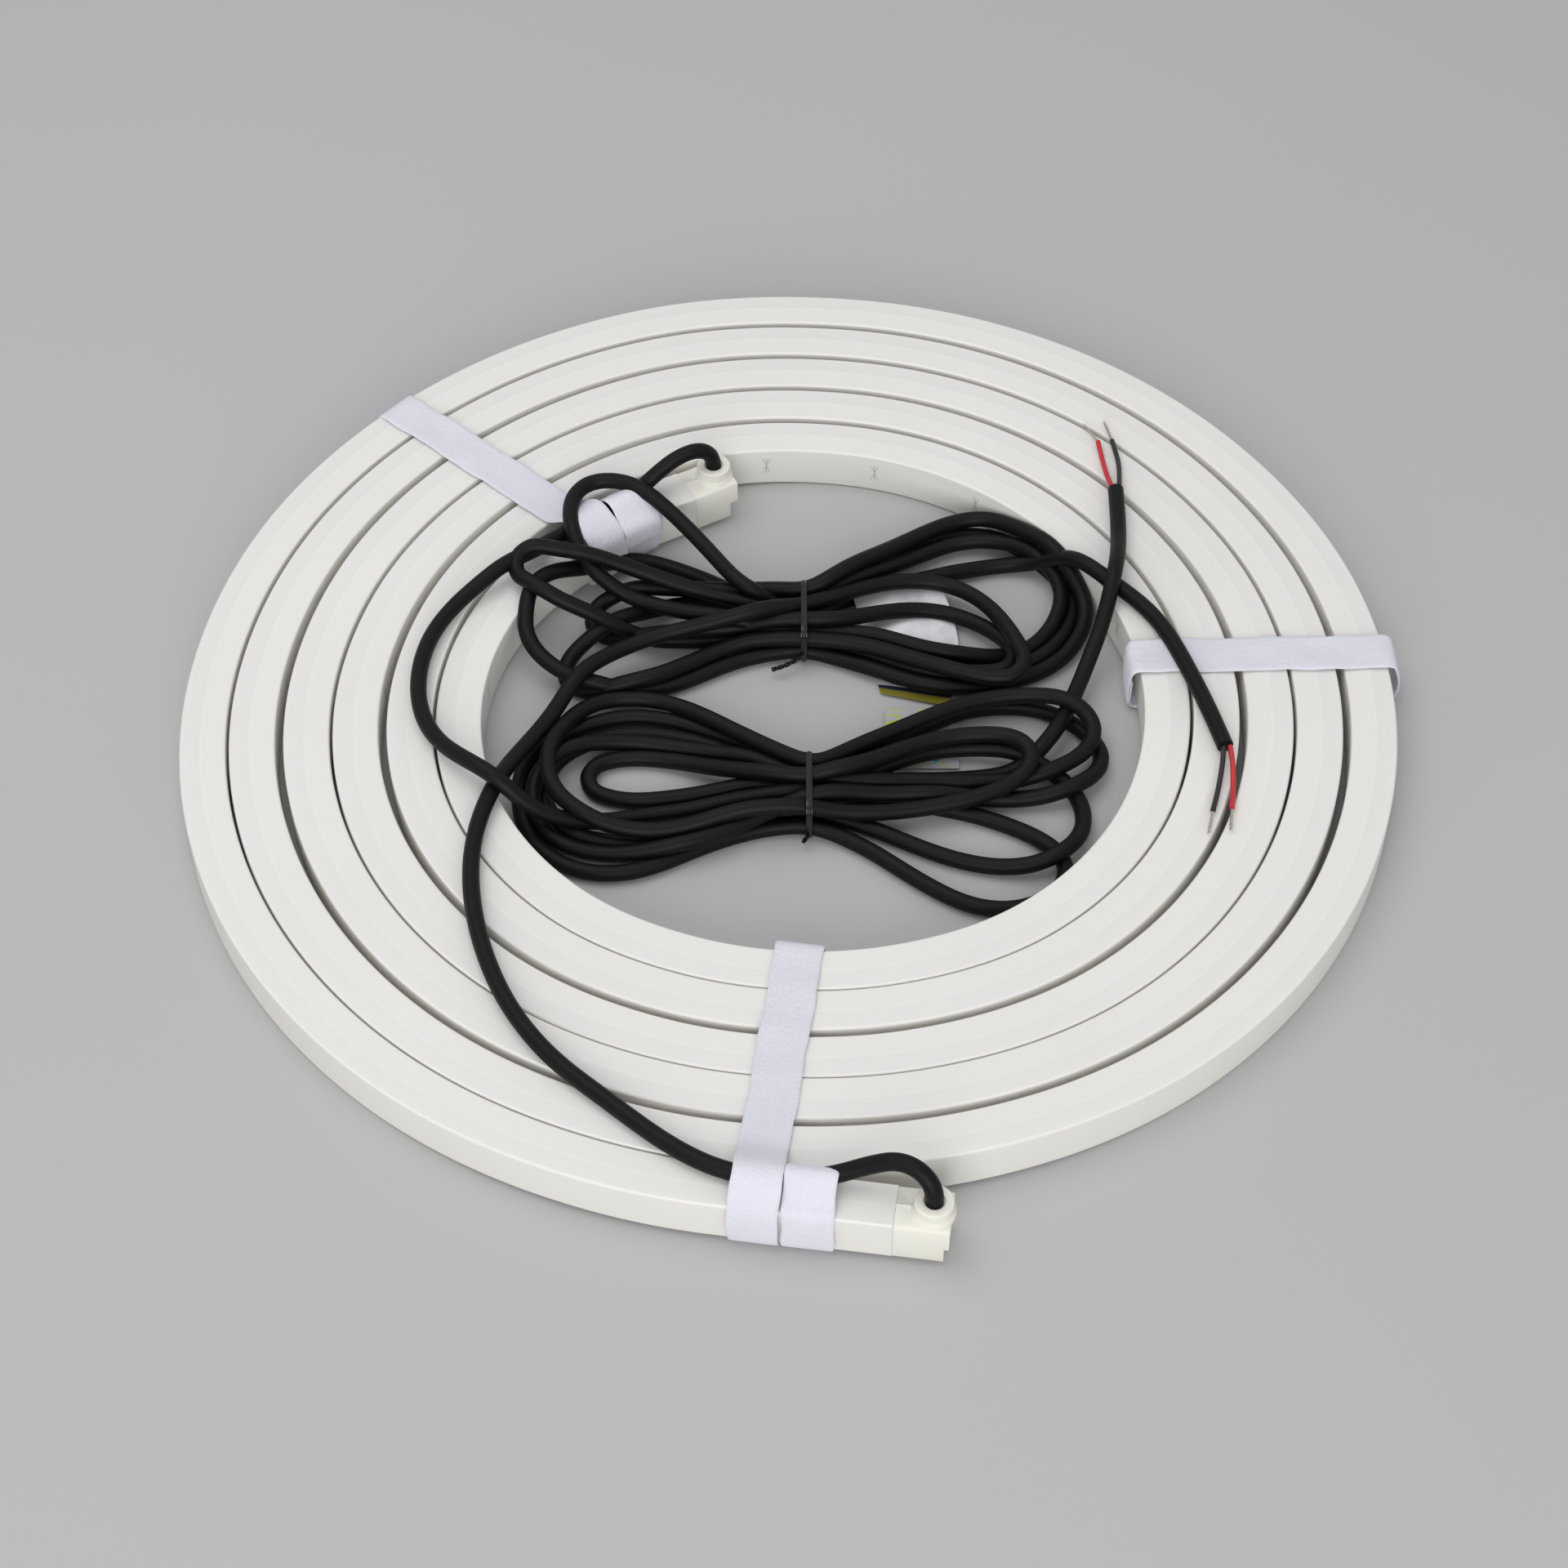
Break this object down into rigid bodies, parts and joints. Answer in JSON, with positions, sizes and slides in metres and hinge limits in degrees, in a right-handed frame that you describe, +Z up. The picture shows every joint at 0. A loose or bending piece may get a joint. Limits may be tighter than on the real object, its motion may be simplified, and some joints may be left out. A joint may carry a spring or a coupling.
{
  "type": "led neon flex reel",
  "caption": "Coiled reel of white silicone LED neon flex, tied with fabric straps, with an end cap and a coiled black feed cable at each end.",
  "frame": {"origin": "the middle of the underside of the coiled flex with its caps and straps, without the cables", "axes": "+Z up from the surface that the coil lies on, -Y towards the outer end cap's side, +X towards the right-hand strap"},
  "size_m": [0.3868, 0.3984, 0.0328],
  "materials": {
    "white_silicone": "matte milky white silicone",
    "cream_silicone": "matte cream moulded silicone",
    "strap_fabric": "bluish white hook-and-loop tape",
    "black_jacket": "matte black cable jacket",
    "tie_plastic": "glossy black plastic over wire",
    "black_insulation": "smooth black core insulation",
    "red_insulation": "smooth red core insulation",
    "tinned_copper": "bare tinned copper strands",
    "label_foil": "silvery satin label",
    "clear_film": "clear glossy film"
  },
  "bodies": {
    "root": {"neon_flex": "white_silicone", "outer_end_cap": "cream_silicone", "inner_end_cap": "cream_silicone", "strap_left_long": "strap_fabric", "strap_left_short": "strap_fabric", "strap_right": "strap_fabric", "strap_front_long": "strap_fabric", "strap_front_short": "strap_fabric", "outer_feed_lead": "black_jacket", "inner_feed_lead": "black_jacket", "outer_feed_loop_tall": "black_jacket", "outer_feed_loop_left": "black_jacket", "outer_feed_tail": "black_jacket", "inner_feed_tail": "black_jacket", "outer_feed_hank": "black_jacket", "inner_feed_hank": "black_jacket", "twist_tie_upper": "tie_plastic", "twist_tie_lower": "tie_plastic", "outer_feed_core_black": "black_insulation", "outer_feed_core_red": "red_insulation", "inner_feed_core_black": "black_insulation", "inner_feed_core_red": "red_insulation", "outer_feed_wire_black": "tinned_copper", "outer_feed_wire_red": "tinned_copper", "inner_feed_wire_black": "tinned_copper", "inner_feed_wire_red": "tinned_copper", "cable_label": "label_foil", "clear_tag": "clear_film"}
  },
  "joints": []
}
